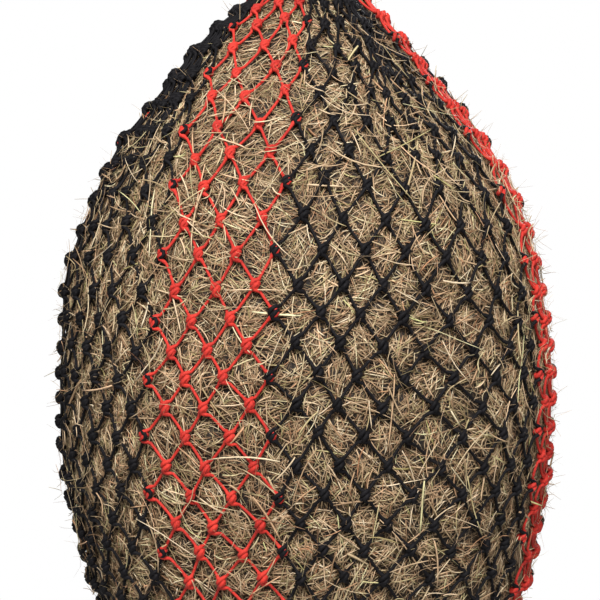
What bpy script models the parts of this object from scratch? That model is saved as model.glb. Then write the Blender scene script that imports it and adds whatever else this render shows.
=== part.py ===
"""A small-mesh hay net, filled with hay, drawn shut and hanging from the loop of its drawcord.

Frame: +Z up, the front faces -Y. The origin is where a hook bears, under the hanging loop's crown.
The knotted diamond mesh is built as one thin curved strip for each column of meshes. A column is a
pair of zigzag twines. Three red columns follow seven black ones, four times round the bag. The hay
inside is three stacked plain solids, and the drawcord, mouth, base lashing and base ring are pieces
of their own, grouped under an empty for each thing that moves.
"""

import math

import bpy
from mathutils import Vector

# --- Driving dimensions, in metres and degrees ---
GAP = 0.0003  # between pieces that touch

MESHES_ROUND = 40
RED_COLUMNS = 3  # in each red band
BANDS = 4  # red bands round the bag, with black between
COLUMN_ANGLE = 360 / MESHES_ROUND
FIRST_RED_EDGE = -33.5  # left edge of the front red band, measured from -Y towards +X
NET_THICKNESS = 0.005  # of the mesh with its knots, averaged over a column
BAG_SPANS = 18  # straight steps down the bag, the same in the mesh and in the hay

# The bag's outer profile from the mouth to the base: (radius, height).
BAG_OUTLINE = [
    (0.0320, -0.165),
    (0.0620, -0.218),
    (0.0890, -0.240),
    (0.1250, -0.284),
    (0.1630, -0.328),
    (0.2235, -0.416),
    (0.2526, -0.502),
    (0.2663, -0.600),
    (0.2670, -0.680),
    (0.2540, -0.770),
    (0.2216, -0.868),
    (0.1550, -0.962),
    (0.0750, -1.018),
    (0.0220, -1.035),
]
NECK_SPANS = 1  # of those steps, down to where the hay in the neck ends
WAIST_SPANS = 10  # down to where the upper hay ends

ROPE_DIAMETER = 0.006
TWINE_DIAMETER = 0.0036

KNOT_CENTRE = -0.078  # height of the knot's centre
KNOT_RADIUS = 0.0125
ROPE_OFFSET = 0.0037  # from the middle to each of two ropes side by side
LOOP_HALF_WIDTH = 0.021
LOOP_POINTS = 27

MOUTH_CORD_RADIUS = 0.030  # of the ring that the drawcord makes in the mouth
MOUTH_CORD_HEIGHT = -0.1565
MOUTH_GATHER_RADIUS = 0.0375
LEG_POINTS = 9
TAIL_LENGTH = 0.026
TAIL_POINTS = 7

BASE_HEIGHT = BAG_OUTLINE[-1][1]
BASE_RADIUS = BAG_OUTLINE[-1][0]
LASHING_RADIUS = 0.0135  # centreline of the cord tied round the base
LASHING_HEIGHT = -1.0495
GATHER_BOTTOM = -1.060
BECKET_DROP = 0.0195  # from its hinge line to the middle of its bend
BECKET_HALF_WIDTH = 0.0075
BECKET_BALL = 0.0024  # radius of its two end knots, which turn under the gather
BECKET_POINTS = 15
RING_RADIUS = 0.0175  # centreline
RING_WIRE = 0.0025  # radius of the ring's steel

CORD_SIDES_LEVEL = 2  # bevel resolution of ropes and twines
ROUND_STEPS = 40
CURVE_STEPS = 600  # straight steps that a smooth curve is measured by


# --- Helpers ---
def clear_scene():
    for obj in list(bpy.data.objects):
        bpy.data.objects.remove(obj, do_unlink=True)


def make_material(name, colour, roughness, metallic=0.0):
    material = bpy.data.materials.new(name)
    material.use_nodes = True
    shader = material.node_tree.nodes["Principled BSDF"]
    shader.inputs["Base Color"].default_value = (*colour, 1.0)
    shader.inputs["Roughness"].default_value = roughness
    shader.inputs["Metallic"].default_value = metallic
    return material


def make_pivot(name, location, parent=None):
    """An empty on a joint's axis, which its moving pieces are parented to."""
    pivot = bpy.data.objects.new(name, None)
    pivot.empty_display_size = 0.02
    bpy.context.scene.collection.objects.link(pivot)
    pivot.parent = parent
    pivot.location = Vector(location) - (pivot_place(parent) if parent else Vector())
    return pivot


def pivot_place(pivot):
    """A pivot's place in the world. No pivot turns, so it is the sum of the offsets down its chain."""
    place = Vector(pivot.location)
    while pivot.parent:
        pivot = pivot.parent
        place += pivot.location
    return place


def add_object(name, data, pivot, material):
    """Links an object whose data is in world coordinates, moved to its pivot's own coordinates."""
    obj = bpy.data.objects.new(name, data)
    data.materials.append(material)
    bpy.context.scene.collection.objects.link(obj)
    obj.parent = pivot
    obj.location = -pivot_place(pivot)
    return obj


def add_mesh(name, points, faces, pivot, material, smooth=True):
    mesh = bpy.data.meshes.new(name)
    mesh.from_pydata(points, [], faces)
    mesh.update()
    obj = add_object(name, mesh, pivot, material)
    if smooth:
        mesh.shade_smooth()
        mesh.set_sharp_from_angle(angle=math.radians(40))
    return obj


def catmull_rom(points, share):
    """The point at this share, 0 to 1, of a smooth curve through the points."""
    spans = len(points) - 1
    place = min(max(share, 0.0), 1.0) * spans
    i = min(int(place), spans - 1)
    t = place - i
    before, a, b, after = (Vector(points[min(max(k, 0), spans)]) for k in (i - 1, i, i + 1, i + 2))
    if i == 0:
        before = 2 * a - b
    if i == spans - 1:
        after = 2 * b - a
    return 0.5 * (
        2 * a + (b - before) * t + (2 * before - 5 * a + 4 * b - after) * t * t + (3 * a - before - 3 * b + after) * t**3
    )


def even_stretch(points, count):
    """count (point, direction) pairs, evenly spaced by length along a smooth curve through the points."""
    fine = [catmull_rom(points, k / CURVE_STEPS) for k in range(CURVE_STEPS + 1)]
    along = [0.0]
    for a, b in zip(fine, fine[1:]):
        along.append(along[-1] + (b - a).length)
    found = []
    k = 0
    for n in range(count):
        target = along[-1] * n / (count - 1)
        while k < len(fine) - 2 and along[k + 1] < target:
            k += 1
        step = (target - along[k]) / (along[k + 1] - along[k])
        found.append((fine[k].lerp(fine[k + 1], step), (fine[k + 1] - fine[k]).normalized()))
    return found


def even_points(points, count):
    return [point for point, _ in even_stretch(points, count)]


def bag_profile(depth):
    """(radius, height) points down the bag, this deep inside its outer surface, square to it."""
    stretch = even_stretch(BAG_OUTLINE, BAG_SPANS + 1)
    return [point + depth * Vector((way.y, -way.x)) for point, way in stretch]


def around(radius, height, degrees):
    """A point at this radius, turned from -Y towards +X."""
    angle = math.radians(degrees)
    return Vector((radius * math.sin(angle), -radius * math.cos(angle), height))


def add_turned(name, profile, pivot, material, steps=ROUND_STEPS, first_angle=0.0):
    """A closed solid of revolution about the Z axis. The profile is (radius, height) points from top to
    bottom. An end at radius 0 closes in a point, and another end is capped flat."""
    points = []
    rings = []
    for radius, height in profile:
        if radius == 0:
            rings.append([len(points)])
            points.append(Vector((0, 0, height)))
            continue
        rings.append([len(points) + k for k in range(steps)])
        points += [around(radius, height, first_angle + 360 * k / steps) for k in range(steps)]
    faces = []
    for upper, lower in zip(rings, rings[1:]):
        for k in range(steps):
            n = (k + 1) % steps
            if len(upper) == 1:
                faces.append((upper[0], lower[k], lower[n]))
            elif len(lower) == 1:
                faces.append((upper[k], lower[0], upper[n]))
            else:
                faces.append((upper[k], lower[k], lower[n], upper[n]))
    if len(rings[0]) > 1:
        faces.append(tuple(rings[0]))
    if len(rings[-1]) > 1:
        faces.append(tuple(reversed(rings[-1])))
    return add_mesh(name, points, faces, pivot, material)


def add_tube(name, points, diameter, pivot, material, closed=False, radii=None):
    """A cord: a round tube along the points, with flat ends unless it is a closed ring."""
    curve = bpy.data.curves.new(name, "CURVE")
    curve.dimensions = "3D"
    curve.bevel_depth = diameter / 2
    curve.bevel_resolution = CORD_SIDES_LEVEL
    curve.use_fill_caps = not closed
    spline = curve.splines.new("POLY")
    spline.points.add(len(points) - 1)
    for k, point in enumerate(points):
        spline.points[k].co = (*point, 1.0)
        spline.points[k].radius = radii[k] if radii else 1.0
    spline.use_cyclic_u = closed
    spline.use_smooth = True
    return add_object(name, curve, pivot, material)


# --- The bag: hay and mesh ---
def add_hay(pivot, material):
    """Three stacked solids of hay, which meet inside the mesh. Their corners lie between the columns."""
    whole = bag_profile(NET_THICKNESS + GAP)
    whole[0].y = BAG_OUTLINE[0][1]
    whole[-1].y = BASE_HEIGHT + NET_THICKNESS + GAP
    stretches = [
        ("hay_neck", 0, NECK_SPANS),
        ("hay_upper", NECK_SPANS, WAIST_SPANS),
        ("hay_lower", WAIST_SPANS, BAG_SPANS),
    ]
    for name, first, last in stretches:
        profile = [point.copy() for point in whole[first : last + 1]]
        ahead = (whole[first + 1] - whole[first]).normalized()
        profile[0] += ahead * GAP / abs(ahead.y)
        add_turned(name, profile, pivot, material, MESHES_ROUND, FIRST_RED_EDGE)


def add_mesh_column(name, left, pivot, material):
    """One column of diamond meshes, as a thin strip from the mouth to the base."""
    outer = bag_profile(0)
    inner = bag_profile(NET_THICKNESS)
    inner[0].y = outer[0].y
    points = []
    for out, within in zip(outer, inner):
        for radius, height, side in (
            (within.x, within.y, 0),
            (out.x, out.y, 0),
            (out.x, out.y, 1),
            (within.x, within.y, 1),
        ):
            clearance = math.degrees(GAP / 2 / radius)
            turn = left + (COLUMN_ANGLE - clearance if side else clearance)
            points.append(around(radius, height, turn))
    faces = [(0, 1, 2, 3)]
    for level in range(BAG_SPANS):
        for k in range(4):
            a = 4 * level + k
            b = 4 * level + (k + 1) % 4
            faces.append((a, a + 4, b + 4, b))
    last = 4 * BAG_SPANS
    faces.append((last + 3, last + 2, last + 1, last))
    add_mesh(name, points, faces, pivot, material)


def add_net(pivot, red, black):
    reds = 0
    blacks = 0
    for column in range(MESHES_ROUND):
        left = FIRST_RED_EDGE + column * COLUMN_ANGLE
        if column % (MESHES_ROUND // BANDS) < RED_COLUMNS:
            reds += 1
            add_mesh_column(f"red_mesh_column_{reds:02d}", left, pivot, red)
        else:
            blacks += 1
            add_mesh_column(f"black_mesh_column_{blacks:02d}", left, pivot, black)


# --- The mouth and its drawcord ---
def add_mouth_gather(pivot, material):
    """The top meshes bunched round the drawcord: a button with a groove that the drawcord lies in."""
    bottom = BAG_OUTLINE[0][1] + GAP
    groove = ROPE_DIAMETER / 2 + GAP
    profile = [(0, MOUTH_CORD_HEIGHT + 0.0015), (0.015, MOUTH_CORD_HEIGHT + 0.001)]
    for degrees in range(180, 361, 30):
        angle = math.radians(degrees)
        radius = MOUTH_CORD_RADIUS + groove * math.cos(angle)
        profile.append((radius, MOUTH_CORD_HEIGHT + groove * math.sin(angle)))
    profile += [
        (MOUTH_GATHER_RADIUS - 0.001, MOUTH_CORD_HEIGHT + 0.001),
        (MOUTH_GATHER_RADIUS, MOUTH_CORD_HEIGHT - 0.002),
        (MOUTH_GATHER_RADIUS - 0.004, bottom),
        (0, bottom),
    ]
    add_turned("mouth_gather", profile, pivot, material)


def add_mouth_cord(pivot, material):
    ring = [
        around(MOUTH_CORD_RADIUS, MOUTH_CORD_HEIGHT, 360 * k / ROUND_STEPS)
        for k in range(ROUND_STEPS)
    ]
    add_tube("mouth_drawcord", ring, ROPE_DIAMETER, pivot, material, closed=True)


def add_drawcord_legs(pivot, material):
    """The drawcord's two ends, which leave the mouth together at the back and rise to the knot."""
    foot = MOUTH_CORD_HEIGHT + ROPE_DIAMETER / 2 + GAP
    head = KNOT_CENTRE - KNOT_RADIUS - 3 * GAP
    for name, side in (("drawcord_leg_left", -1), ("drawcord_leg_right", 1)):
        x = side * ROPE_OFFSET
        route = [
            (x, MOUTH_CORD_RADIUS, foot),
            (x, 0.0285, foot + 0.012),
            (x, 0.0205, foot + 0.027),
            (x, 0.0095, foot + 0.043),
            (x, 0.0015, head - 0.006),
            (x, 0.0005, head),
        ]
        add_tube(name, even_points(route, LEG_POINTS), ROPE_DIAMETER, pivot, material)


def add_loop_knot(pivot, material):
    """The overhand knot in the doubled drawcord, as a ball, so that it turns in place."""
    profile = [(0, KNOT_CENTRE + KNOT_RADIUS)]
    for k in range(1, 12):
        angle = math.pi * k / 12
        profile.append((KNOT_RADIUS * math.sin(angle), KNOT_CENTRE + KNOT_RADIUS * math.cos(angle)))
    profile.append((0, KNOT_CENTRE - KNOT_RADIUS))
    add_turned("loop_knot", profile, pivot, material, steps=20)


def add_knot_tails(pivot, material):
    """The two cut ends, which leave the front of the knot and droop."""
    start = -(KNOT_RADIUS + GAP)
    for name, side in (("knot_tail_left", -1), ("knot_tail_right", 1)):
        route = [
            (side * ROPE_OFFSET, start, KNOT_CENTRE),
            (side * (ROPE_OFFSET + 0.001), start - 0.008, KNOT_CENTRE - 0.001),
            (side * (ROPE_OFFSET + 0.003), start - 0.015, KNOT_CENTRE - 0.007),
            (side * (ROPE_OFFSET + 0.005), start - 0.018, KNOT_CENTRE + 0.006 - TAIL_LENGTH),
        ]
        add_tube(name, even_points(route, TAIL_POINTS), ROPE_DIAMETER, pivot, material)


def add_hanging_loop(pivot, material):
    """The bight above the knot: up one side, over the crown at the origin, and down the other."""
    foot = KNOT_CENTRE + KNOT_RADIUS + GAP
    crown = ROPE_DIAMETER / 2
    side = [
        (ROPE_OFFSET, foot),
        (ROPE_OFFSET + 0.0015, foot + 0.008),
        (0.0125, foot + 0.026),
        (LOOP_HALF_WIDTH - 0.001, -0.024),
        (LOOP_HALF_WIDTH - 0.003, -0.0085),
        (0.0095, crown - 0.0020),
    ]
    route = [(-x, 0, z) for x, z in side] + [(0, 0, crown)] + [(x, 0, z) for x, z in reversed(side)]
    add_tube("hanging_loop", even_points(route, LOOP_POINTS), ROPE_DIAMETER, pivot, material)


# --- The base ---
def add_base_gather(pivot, material):
    """The bottom meshes drawn together in a short neck, with a groove for the lashing."""
    top = BASE_HEIGHT + NET_THICKNESS
    throat = LASHING_RADIUS - TWINE_DIAMETER / 2 - GAP
    profile = [
        (0, top),
        (BASE_RADIUS - 0.0015, top),
        (BASE_RADIUS - 0.0015, BASE_HEIGHT - GAP),
        (BASE_RADIUS - 0.0045, BASE_HEIGHT - 0.006),
        (throat + 0.002, LASHING_HEIGHT + 0.004),
        (throat, LASHING_HEIGHT + 0.002),
        (throat, LASHING_HEIGHT - 0.002),
        (throat + 0.0035, LASHING_HEIGHT - 0.005),
        (throat + 0.0030, GATHER_BOTTOM + 0.001),
        (throat, GATHER_BOTTOM),
        (0, GATHER_BOTTOM),
    ]
    add_turned("base_gather", profile, pivot, material)


def add_base_lashing(pivot, material):
    ring = [
        around(LASHING_RADIUS, LASHING_HEIGHT, 360 * k / ROUND_STEPS)
        for k in range(ROUND_STEPS)
    ]
    add_tube("base_lashing", ring, TWINE_DIAMETER, pivot, material, closed=True)


def becket_hinge_height():
    return GATHER_BOTTOM - GAP - BECKET_BALL


def ring_hinge_height():
    """The centre of the ring's wire where it rests in the becket's bend."""
    bend = becket_hinge_height() - BECKET_DROP
    return bend + TWINE_DIAMETER / 2 + GAP + RING_WIRE


def add_base_becket(pivot, material):
    """A short loop of twine under the base, in the YZ plane. Each end swells to a small end knot."""
    hinge = becket_hinge_height()
    half = BECKET_HALF_WIDTH
    side = [
        (-half + 0.0015, hinge),
        (-half, hinge - 0.006),
        (-half + 0.0007, hinge - 0.0135),
        (-half + 0.0040, hinge - 0.0180),
    ]
    route = [(0, y, z) for y, z in side]
    route += [(0, 0, hinge - BECKET_DROP)]
    route += [(0, -y, z) for y, z in reversed(side)]
    middle = even_points(route, BECKET_POINTS)
    swell = BECKET_BALL / (TWINE_DIAMETER / 2)
    cap = [(0.92, 0.35), (0.55, 0.82), (0.0, 1.0)]
    above = [middle[0] + Vector((0, 0, BECKET_BALL * up)) for up, _ in cap[:2]]
    below = [middle[-1] + Vector((0, 0, BECKET_BALL * up)) for up, _ in reversed(cap[:2])]
    ends = [swell * wide for _, wide in cap]
    radii = ends + [1.0] * (BECKET_POINTS - 2) + ends[::-1]
    add_tube("base_becket", above + middle + below, TWINE_DIAMETER, pivot, material, radii=radii)


def add_base_ring(pivot, material):
    """A welded steel ring that hangs in the becket, in the XZ plane."""
    centre = ring_hinge_height() - RING_RADIUS
    ring = []
    for k in range(ROUND_STEPS):
        angle = 2 * math.pi * k / ROUND_STEPS
        ring.append((RING_RADIUS * math.sin(angle), 0, centre + RING_RADIUS * math.cos(angle)))
    add_tube("base_ring", ring, 2 * RING_WIRE, pivot, material, closed=True)


def main():
    clear_scene()
    black = make_material("black_twine", (0.012, 0.012, 0.014), 0.75)
    red = make_material("red_twine", (0.72, 0.035, 0.018), 0.6)
    hay = make_material("hay", (0.27, 0.19, 0.10), 0.85)
    rope = make_material("black_rope", (0.014, 0.014, 0.016), 0.7)
    steel = make_material("steel", (0.62, 0.62, 0.60), 0.3, 1.0)

    loop_pivot = make_pivot("hanging_loop_pivot", (0, 0, 0))
    knot_pivot = make_pivot("knot_pivot", (0, 0, KNOT_CENTRE), loop_pivot)
    legs_pivot = make_pivot("cord_legs_pivot", (0, 0, KNOT_CENTRE), knot_pivot)
    mouth_pivot = make_pivot("mouth_pivot", (0, 0, MOUTH_CORD_HEIGHT), legs_pivot)
    bag_pivot = make_pivot("bag_pivot", (0, 0, BAG_OUTLINE[0][1]), mouth_pivot)
    becket_pivot = make_pivot("becket_pivot", (0, 0, becket_hinge_height()), bag_pivot)
    ring_pivot = make_pivot("base_ring_pivot", (0, 0, ring_hinge_height()), becket_pivot)

    add_hanging_loop(loop_pivot, rope)
    add_loop_knot(knot_pivot, rope)
    add_knot_tails(knot_pivot, rope)
    add_drawcord_legs(legs_pivot, rope)
    add_mouth_cord(mouth_pivot, rope)
    add_mouth_gather(mouth_pivot, black)
    add_hay(bag_pivot, hay)
    add_net(bag_pivot, red, black)
    add_base_gather(bag_pivot, black)
    add_base_lashing(bag_pivot, black)
    add_base_becket(becket_pivot, black)
    add_base_ring(ring_pivot, steel)


main()
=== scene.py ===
# The looks of a hay net that hangs full of hay: knotted twines, loose stalks, braided rope and base ring.
# Lengths are in metres. The bag's surface is read from the frame. Angles round the bag are in degrees,
# from the front (-Y) towards +X. A place on the knotted mesh is (u, v): u counts half meshes round the bag
# and v counts rows of knots down it. There is a knot wherever u + v is even.

import math

import bpy
import numpy as np
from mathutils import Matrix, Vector
from mathutils.bvhtree import BVHTree


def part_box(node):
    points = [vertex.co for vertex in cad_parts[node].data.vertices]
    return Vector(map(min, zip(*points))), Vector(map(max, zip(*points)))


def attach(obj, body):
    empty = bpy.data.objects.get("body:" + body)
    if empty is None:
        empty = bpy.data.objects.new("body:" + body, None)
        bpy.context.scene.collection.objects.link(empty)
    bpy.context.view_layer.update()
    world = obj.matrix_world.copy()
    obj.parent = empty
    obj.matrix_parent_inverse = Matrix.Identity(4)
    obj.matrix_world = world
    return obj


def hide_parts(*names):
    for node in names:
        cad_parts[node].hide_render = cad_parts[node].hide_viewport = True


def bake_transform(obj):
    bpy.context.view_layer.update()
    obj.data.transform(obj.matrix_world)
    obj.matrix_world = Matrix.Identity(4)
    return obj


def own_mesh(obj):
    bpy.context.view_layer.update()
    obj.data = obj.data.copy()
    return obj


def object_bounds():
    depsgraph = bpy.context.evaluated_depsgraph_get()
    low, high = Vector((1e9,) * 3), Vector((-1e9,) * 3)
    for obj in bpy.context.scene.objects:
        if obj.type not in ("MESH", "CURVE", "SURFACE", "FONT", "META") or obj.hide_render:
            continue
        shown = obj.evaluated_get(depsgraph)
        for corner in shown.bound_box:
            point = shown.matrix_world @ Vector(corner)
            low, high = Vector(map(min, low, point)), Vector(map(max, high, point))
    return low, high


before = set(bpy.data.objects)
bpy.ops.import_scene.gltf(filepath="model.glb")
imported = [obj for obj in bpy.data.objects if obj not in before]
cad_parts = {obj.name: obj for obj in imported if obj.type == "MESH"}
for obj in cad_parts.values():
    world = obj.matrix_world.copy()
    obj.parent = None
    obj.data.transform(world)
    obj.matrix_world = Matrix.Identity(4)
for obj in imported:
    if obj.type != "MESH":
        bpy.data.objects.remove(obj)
scene = bpy.context.scene
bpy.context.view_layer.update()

# --- Driving values ---
MESHES_ROUND = 40
HALF_MESHES = 2 * MESHES_ROUND
HALF_ANGLE = 360 / HALF_MESHES
RED_COLUMNS = 3
BAND_COLUMNS = 10  # a red band and the black one beside it
FIRST_RED_EDGE = -33.5  # left edge of the front red band
BAR = 0.0345  # from knot to knot
TWINE = 0.0034  # diameter
ROPE = 0.006
ROPE_OFFSET = 0.0037  # from the middle to each of two ropes side by side
BECKET_TWINE = 0.0036
ODD_ROW_HEIGHT = -0.536  # a row whose knots stand at odd u passes here
# Heights of the first rows of knots under the mouth's own row. They are drawn apart in the neck.
NECK_ROWS = (
    -0.190, -0.2135, -0.2374, -0.2593, -0.2852, -0.3110,
    -0.3380, -0.3718, -0.4048, -0.4373, -0.4720, -0.5030,
)

STRANDS = 5  # that wind each way round a braided cord
BRAID_RELIEF = 0.045  # of a cord's radius, that its crossing strands rise and sink
ROPE_IN_KNOT = 0.006  # how far a rope's hidden end reaches into the knot
STALK_STEPS = 4
LOOSE_STEPS = 6
MOST_STRAY = 0.019  # that a loose stalk stands out of the bag
MESH_MARGIN = 0.03  # of a mesh, that a stalk inside it keeps from its twines

# Depths from the bag's outer surface, where the knots reach, outwards being positive.
KNOT_DEPTH = -0.0016
BAR_DEPTH = -0.0033
VALLEY_DEPTH = -0.0090  # of the hay under the twines
PILLOW_DEPTH = -0.0044  # of the hay in the middle of a mesh
FLAT_SIDES = 0.65  # share of its swell that the hay loses at the bag's two sides

rng = np.random.default_rng(7)


# --- Camera and light: they come first ---
STUDIO_GLOW = 0.16  # how strongly the white surroundings light the net


def add_camera():
    data = bpy.data.cameras.new("camera")
    data.lens = 88.7
    data.sensor_width = 36
    camera = bpy.data.objects.new("camera", data)
    camera.location = (-0.0066, -1.62, -0.545)
    camera.rotation_euler = (math.radians(90), 0, 0)
    scene.collection.objects.link(camera)
    scene.camera = camera


def add_area_light(name, place, target, size, power, colour=(1, 1, 1)):
    data = bpy.data.lights.new(name, "AREA")
    data.shape = "DISK"
    data.size = size
    data.energy = power
    data.color = colour
    light = bpy.data.objects.new(name, data)
    light.location = place
    light.rotation_euler = (Vector(target) - Vector(place)).to_track_quat("-Z", "Y").to_euler()
    scene.collection.objects.link(light)


def add_world():
    world = bpy.data.worlds.new("studio")
    world.use_nodes = True
    tree = world.node_tree
    background = tree.nodes["Background"]
    background.inputs["Color"].default_value = (1, 1, 1, 1)
    path = tree.nodes.new("ShaderNodeLightPath")
    strength = tree.nodes.new("ShaderNodeMapRange")
    strength.inputs["To Min"].default_value = STUDIO_GLOW
    strength.inputs["To Max"].default_value = 1.0
    tree.links.new(path.outputs["Is Camera Ray"], strength.inputs["Value"])
    tree.links.new(strength.outputs["Result"], background.inputs["Strength"])
    scene.world = world
    scene.view_settings.view_transform = "Standard"


add_camera()
add_world()
bag_middle = (0, 0, -0.6)
add_area_light("key", (-0.25, -2.15, 1.25), bag_middle, 0.9, 122, (1, 0.985, 0.96))
add_area_light("fill", (0.7, -2.5, 0.3), bag_middle, 1.2, 26)
add_area_light("back", (0.9, 2.1, 0.7), bag_middle, 1.6, 62)


# --- The bag's surface, from the frame ---
def bag_outline(steps=900):
    """Smooth (radius, height) points down the outer side of one column of the CAD mesh."""
    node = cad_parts["black_mesh_column_01"]
    points = np.array([v.co for v in node.data.vertices])
    faces = [tuple(face.vertices) for face in node.data.polygons]
    tree = BVHTree.FromPolygons([Vector(p) for p in points], faces)
    middle = np.arctan2(points[:, 0], -points[:, 1]).mean()
    way = Vector((math.sin(middle), -math.cos(middle), 0))
    low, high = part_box("black_mesh_column_01")
    flat_side = math.cos(math.radians(HALF_ANGLE))  # a column's side is a chord
    found = []
    for height in np.linspace(high.z - 1e-4, low.z + 1e-4, steps):
        hit = tree.ray_cast(way + Vector((0, 0, height)), -way)[0]
        if hit is not None:
            found.append((math.hypot(hit.x, hit.y) / flat_side, height))
    return np.array(found)


def even_steps(points, count):
    """A polyline's points, evenly spaced by length, and how far along it they are."""
    along = np.concatenate([[0], np.cumsum(np.linalg.norm(np.diff(points, axis=0), axis=1))])
    even = np.linspace(0, along[-1], count)
    return np.stack([np.interp(even, along, points[:, k]) for k in range(points.shape[1])], 1), even


def smoothed(points, reach):
    """A polyline's points averaged over this many neighbours on each side, its ends kept."""
    weights = np.hanning(2 * reach + 3)[1:-1]
    weights /= weights.sum()
    before = 2 * points[0] - points[reach:0:-1]
    after = 2 * points[-1] - points[-2 : -reach - 2 : -1]
    padded = np.concatenate([before, points, after])
    return np.stack([np.convolve(padded[:, k], weights, "valid") for k in range(points.shape[1])], 1)


PROFILE, DOWN = even_steps(smoothed(even_steps(bag_outline(), 600)[0], 22), 600)
DOWN_END = DOWN[-1]
_slope = np.gradient(PROFILE, axis=0)
_slope /= np.linalg.norm(_slope, axis=1, keepdims=True)
PROFILE_OUT = np.stack([-_slope[:, 1], _slope[:, 0]], 1)


def radius_at(s):
    return np.interp(s, DOWN, PROFILE[:, 0])


def height_at(s):
    return np.interp(s, DOWN, PROFILE[:, 1])


def down_at(height):
    """How far down the surface this height is."""
    return np.interp(-height, -PROFILE[:, 1], DOWN)


def around_axis(radius, turn, height):
    """Points this far from the bag's axis, turned from the front by this many radians."""
    x = radius * np.sin(turn)
    return np.stack([x, -radius * np.cos(turn), height + 0 * x], -1)


def surface(angle, s, depth):
    """Points at this angle and distance down the bag, this far out of its surface."""
    s = np.clip(s, 0, DOWN_END)
    radius = radius_at(s) + depth * np.interp(s, DOWN, PROFILE_OUT[:, 0])
    height = height_at(s) + depth * np.interp(s, DOWN, PROFILE_OUT[:, 1])
    return around_axis(radius, np.radians(angle), height)


# --- The mesh's lattice ---
def row_places():
    """How far down each row of knots lies. A mesh is as tall as its bars and its width leave it."""
    width = 2 * math.pi * PROFILE[:, 0] / MESHES_ROUND
    step = np.sqrt(BAR**2 - (width / 2) ** 2)
    rows = np.concatenate([[0], np.cumsum(np.diff(DOWN) / ((step[1:] + step[:-1]) / 2))])
    count = int(round(rows[-1]))
    places = np.interp(np.arange(count + 1) * rows[-1] / count, rows, DOWN)
    wanted = down_at(ODD_ROW_HEIGHT)
    odd = np.arange(1, count + 1, 2)
    nearest = odd[np.argmin(np.abs(places[odd] - wanted))]
    bump = np.sin(math.pi * places / DOWN_END) ** 0.5
    places += (wanted - places[nearest]) * bump / bump[nearest]
    places[1 : len(NECK_ROWS) + 1] = down_at(np.array(NECK_ROWS))
    return places


ROWS = row_places()
LAST_ROW = len(ROWS) - 1

# Angles of some half-mesh lines in the neck, where the front red band opens and black meshes bunch.
NECK_ANGLES = [
    (-16, -86.0), (-14, -77.0), (-12, -69.0), (-10, -63.5), (-8, -59.0), (-6, -55.0),
    (-4, -51.0), (-2, -46.5), (0, -40.0), (2, -29.2), (4, -14.3), (6, -0.5),
    (8, 10.5), (10, 19.5), (12, 27.0), (14, 32.5), (16, 37.5), (18, 45.0),
    (20, 58.0), (22, 69.0), (24, 79.0), (26, 86.0), (28, 91.0), (30, 95.5),
    (34, 118.0), (40, 150.0), (46, 172.0), (50, 190.0), (54, 203.0), (58, 226.0),
]
NECK_OPEN = -0.30  # height above which the neck's angles hold in full
NECK_EVEN = -0.50  # height below which the meshes are evenly spaced
NECK_FOLD = 0.010  # how far a fold of bunched meshes stands out
# How much more uneven the neck is than the body, round the bag, down it and outwards.
NECK_UNEVEN_ANGLE = 0.7
NECK_UNEVEN_DOWN = 1.2
NECK_UNEVEN_OUT = 1.6

# Where the body's meshes have slipped round the bag: angle, reach and how far, in degrees.
DRIFTS = [(36, 16, 4.2), (66, 18, 5.5)]
# Where the front of the body is drawn up: angle, reach, and how far.
FRONT_LIFT = (-2, 20, 0.007)

# How far up the bag some half-mesh lines are drawn in the neck.
NECK_LIFTS = [
    (-16, 0.0), (0, -0.008), (2, -0.005), (4, 0.004),
    (6, 0.006), (8, 0.004), (11, -0.002), (64, 0.0),
]

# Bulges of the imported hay: angle, height, reach in degrees, reach in metres, and how far out.
LUMPS = [
    (-92, -0.515, 34, 0.050, 0.010),
    (-95, -0.735, 40, 0.040, 0.004),
    (96, -0.735, 40, 0.030, 0.004),
    (90, -0.850, 60, 0.055, 0.008),
    (-90, -0.845, 60, 0.050, 0.005),
    (-70, -0.330, 30, 0.035, -0.006),
    (150, -0.480, 40, 0.070, 0.006),
    (-160, -0.760, 45, 0.080, 0.005),
]


def noise_table(seed, waves, strength):
    """Smooth values for each (u, v), which repeat round the bag."""
    random = np.random.default_rng(seed)
    u = np.arange(HALF_MESHES)[:, None]
    v = np.arange(LAST_ROW + 1)[None, :]
    table = np.zeros((HALF_MESHES, LAST_ROW + 1))
    for _ in range(waves):
        turns = random.integers(1, 11)
        rate = random.uniform(0.05, 0.9)
        phase = random.uniform(0, 6.3)
        table += np.sin(2 * math.pi * turns * u / HALF_MESHES + rate * v + phase) / turns**0.5
    return strength * table / table.std()


ANGLE_NOISE = noise_table(3, 24, 0.75) + rng.normal(0, 0.38, (HALF_MESHES, LAST_ROW + 1))
DOWN_NOISE = noise_table(5, 24, 0.0014) + rng.normal(0, 0.0011, (HALF_MESHES, LAST_ROW + 1))
HEIGHT_NOISE = noise_table(9, 30, 0.0011)
DOWN_NOISE[:, [0, -1]] = 0


def from_table(table, u, v):
    """A table's values between its (u, v) places."""
    v = np.clip(v, 0, LAST_ROW - 1e-6)
    u0 = np.floor(u).astype(int)
    v0 = np.floor(v).astype(int)
    fu = u - u0
    fv = v - v0
    a = u0 % HALF_MESHES
    b = (u0 + 1) % HALF_MESHES
    upper = table[a, v0] * (1 - fu) + table[b, v0] * fu
    lower = table[a, v0 + 1] * (1 - fu) + table[b, v0 + 1] * fu
    return upper * (1 - fv) + lower * fv


_neck_u = np.array([place for place, _ in NECK_ANGLES] + [NECK_ANGLES[0][0] + HALF_MESHES], float)
_neck_angle = np.array([angle for _, angle in NECK_ANGLES] + [NECK_ANGLES[0][1] + 360])


def neck_share(s):
    """1 in the neck, 0 over the body of the bag."""
    share = np.clip((height_at(s) - NECK_EVEN) / (NECK_OPEN - NECK_EVEN), 0, 1)
    return share * share * (3 - 2 * share)


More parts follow.
